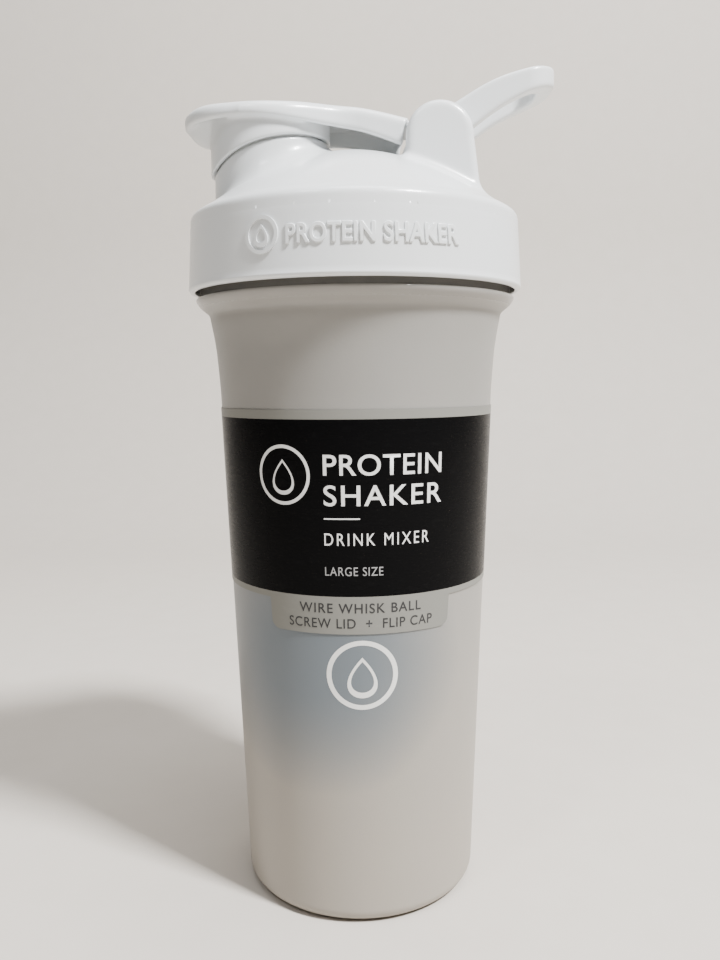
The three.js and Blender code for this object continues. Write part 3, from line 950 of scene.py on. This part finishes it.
class SHAKER_OT_whisk(bpy.types.Operator):
    """Wind the whisk ball's wire over a ball, from pole to pole"""

    bl_idname = "shaker.whisk"
    bl_label = "Whisk ball"

    TURNS = 13

    def execute(self, context):
        steel = drawn_steel()
        wire = context.scene.shaker_sizes.whisk_wire
        tree = self.winding_tree(steel)
        holder = bpy.data.objects.new("winding", bpy.data.meshes.new("winding"))
        context.scene.collection.objects.link(holder)
        modifier = holder.modifiers.new("winding", "NODES")
        modifier.node_group = tree
        given = {
            "Ball radius": BALL_R * MM - wire / 2,
            "Wire radius": wire / 2,
            "Turns": float(self.TURNS),
            "Height": BALL_Z * MM,
        }
        for item in tree.interface.items_tree:
            if item.name in given and item.in_out == "INPUT":
                modifier[item.identifier] = given[item.name]
        holder.update_tag()
        shape = holder.evaluated_get(context.evaluated_depsgraph_get())
        mesh = bpy.data.meshes.new_from_object(shape)
        bpy.data.objects.remove(holder)
        adopt("whisk_wire", mesh, steel, "whisk", "whisk_ball")
        return {"FINISHED"}

    def winding_tree(self, material):
        tree = bpy.data.node_groups.new("ball_winding", "GeometryNodeTree")
        face = tree.interface
        face.new_socket("Geometry", in_out="OUTPUT", socket_type="NodeSocketGeometry")
        for name in ("Ball radius", "Wire radius", "Turns", "Height"):
            face.new_socket(name, in_out="INPUT", socket_type="NodeSocketFloat")
        given = tree.nodes.new("NodeGroupInput")

        def node(kind, inputs=(), **settings):
            made = tree.nodes.new(kind)
            for key, value in settings.items():
                setattr(made, key, value)
            for key, value in dict(inputs).items():
                if isinstance(value, bpy.types.NodeSocket):
                    tree.links.new(value, made.inputs[key])
                else:
                    made.inputs[key].default_value = value
            return made.outputs[0]

        def maths(operation, *values):
            return node("ShaderNodeMath", dict(enumerate(values)), operation=operation)

        line = node("GeometryNodeMeshLine", {"Count": self.TURNS * 56 + 1})
        share = maths("DIVIDE", node("GeometryNodeInputIndex"), float(self.TURNS * 56))
        polar = maths("MULTIPLY_ADD", share, math.pi - 0.14, 0.07)
        turn = maths("MULTIPLY", maths("MULTIPLY", share, given.outputs["Turns"]), 2 * math.pi)
        radius = given.outputs["Ball radius"]
        flat = maths("MULTIPLY", radius, maths("SINE", polar))
        rise = maths("MULTIPLY", radius, maths("COSINE", polar))
        place = node(
            "ShaderNodeCombineXYZ",
            {
                0: maths("MULTIPLY", flat, maths("SINE", turn)),
                1: maths("MULTIPLY", flat, maths("COSINE", turn)),
                2: maths("ADD", rise, given.outputs["Height"]),
            },
        )
        moved = node("GeometryNodeSetPosition", {"Geometry": line, "Position": place})
        path = node("GeometryNodeMeshToCurve", {"Mesh": moved})
        section = node(
            "GeometryNodeCurvePrimitiveCircle",
            {"Resolution": 14, "Radius": given.outputs["Wire radius"]},
        )
        tube = node(
            "GeometryNodeCurveToMesh", {"Curve": path, "Profile Curve": section, "Fill Caps": True}
        )
        real = node("GeometryNodeRealizeInstances", {"Geometry": tube})
        done = node("GeometryNodeSetMaterial", {"Geometry": real, "Material": material})
        tree.links.new(done, tree.nodes.new("NodeGroupOutput").inputs[0])
        return tree


class SHAKER_OT_stage(bpy.types.Operator):
    """Set the floor, the soft lights and the camera"""

    bl_idname = "shaker.stage"
    bl_label = "Stage"

    def execute(self, context):
        self.floor(context)
        self.lights(context)
        self.camera(context)
        return {"FINISHED"}

    def floor(self, context):
        """A sheet of paper that lies under the bottle and sweeps up behind it."""
        near, back, sweep, top, half = -1.2, 0.5, 0.35, 2.2, 2.5
        profile = [(near, 0.0)]
        for i in range(25):
            turn = math.radians(90 * i / 24)
            profile.append((back + sweep * math.sin(turn), sweep * (1 - math.cos(turn))))
        profile.append((back + sweep, top))
        points = [(x, y, z) for y, z in profile for x in (-half, half)]
        faces = [(2 * i, 2 * i + 1, 2 * i + 3, 2 * i + 2) for i in range(len(profile) - 1)]
        mesh = bpy.data.meshes.new("floor")
        mesh.from_pydata(points, [], faces)
        mesh.shade_smooth()
        finish = Finish("floor_paper", roughness=0.85)
        grain = finish.noise(60.0, 4.0)
        finish.drive(base_color=finish.mix(grain, (0.56, 0.52, 0.47), (0.52, 0.48, 0.43)))
        mesh.materials.append(finish.material)
        floor = bpy.data.objects.new("floor", mesh)
        context.scene.collection.objects.link(floor)

    def lights(self, context):
        world = bpy.data.worlds.new("studio")
        context.scene.world = world
        world.use_nodes = True
        background = world.node_tree.nodes["Background"]
        background.inputs["Color"].default_value = (0.93, 0.95, 1.0, 1)
        background.inputs["Strength"].default_value = 0.1
        for name, place, size, power in (
            ("key", (0.78, -0.62, 1.4), (0.2, 0.26), 86.0),
            ("second", (-0.6, -0.75, 1.45), (0.2, 0.26), 6.0),
            ("top", (0.1, -0.1, 1.5), (0.7, 0.7), 15.0),
        ):
            light = bpy.data.lights.new(name, "AREA")
            light.shape = "RECTANGLE"
            light.size, light.size_y = size
            light.energy = power
            lamp = bpy.data.objects.new(name, light)
            lamp.location = place
            towards = Matrix.Translation((0, 0, 0.13)).to_translation() - lamp.location
            lamp.rotation_euler = towards.to_track_quat("-Z", "Y").to_euler()
            context.scene.collection.objects.link(lamp)

    def camera(self, context):
        lens = bpy.data.cameras.new("view")
        lens.lens = 31.98
        lens.sensor_width = 36.0
        camera = bpy.data.objects.new("view", lens)
        pitch, roll, yaw = 0.1157, 0.0102, 0.00686
        turn = (
            Matrix.Rotation(yaw, 4, "Z")
            @ Matrix.Rotation(math.pi / 2 - pitch, 4, "X")
            @ Matrix.Rotation(-roll, 4, "Z")
        )
        camera.matrix_world = Matrix.Translation((0.00272, -0.26118, 0.15347)) @ turn
        context.scene.collection.objects.link(camera)
        context.scene.camera = camera


STEPS = (
    SHAKER_OT_stage,
    SHAKER_OT_bottle,
    SHAKER_OT_sleeve,
    SHAKER_OT_lid,
    SHAKER_OT_cap,
    SHAKER_OT_loop,
    SHAKER_OT_seal,
    SHAKER_OT_whisk,
)


class SHAKER_PT_panel(bpy.types.Panel):
    bl_label = "Shaker bottle"
    bl_idname = "SHAKER_PT_panel"
    bl_space_type = "VIEW_3D"
    bl_region_type = "UI"
    bl_category = "Shaker"

    def draw(self, context):
        for group in ("shaker_sizes", "shaker_colours", "shaker_words"):
            settings = getattr(context.scene, group)
            for name in settings.bl_rna.properties.keys():
                if name not in ("rna_type", "name"):
                    self.layout.prop(settings, name)
        for step in STEPS:
            self.layout.operator(step.bl_idname)


GROUPS = {
    "shaker_sizes": ShakerSizes,
    "shaker_colours": ShakerColours,
    "shaker_words": ShakerWords,
}


def register():
    for kind in (*GROUPS.values(), *STEPS, SHAKER_PT_panel):
        bpy.utils.register_class(kind)
    for name, group in GROUPS.items():
        setattr(bpy.types.Scene, name, PointerProperty(type=group))


def unregister():
    for name in GROUPS:
        delattr(bpy.types.Scene, name)
    for kind in (*GROUPS.values(), *STEPS, SHAKER_PT_panel):
        bpy.utils.unregister_class(kind)


def main():
    register()
    for step in STEPS:
        group, name = step.bl_idname.split(".")
        getattr(getattr(bpy.ops, group), name)()


if __name__ == "__main__":
    main()
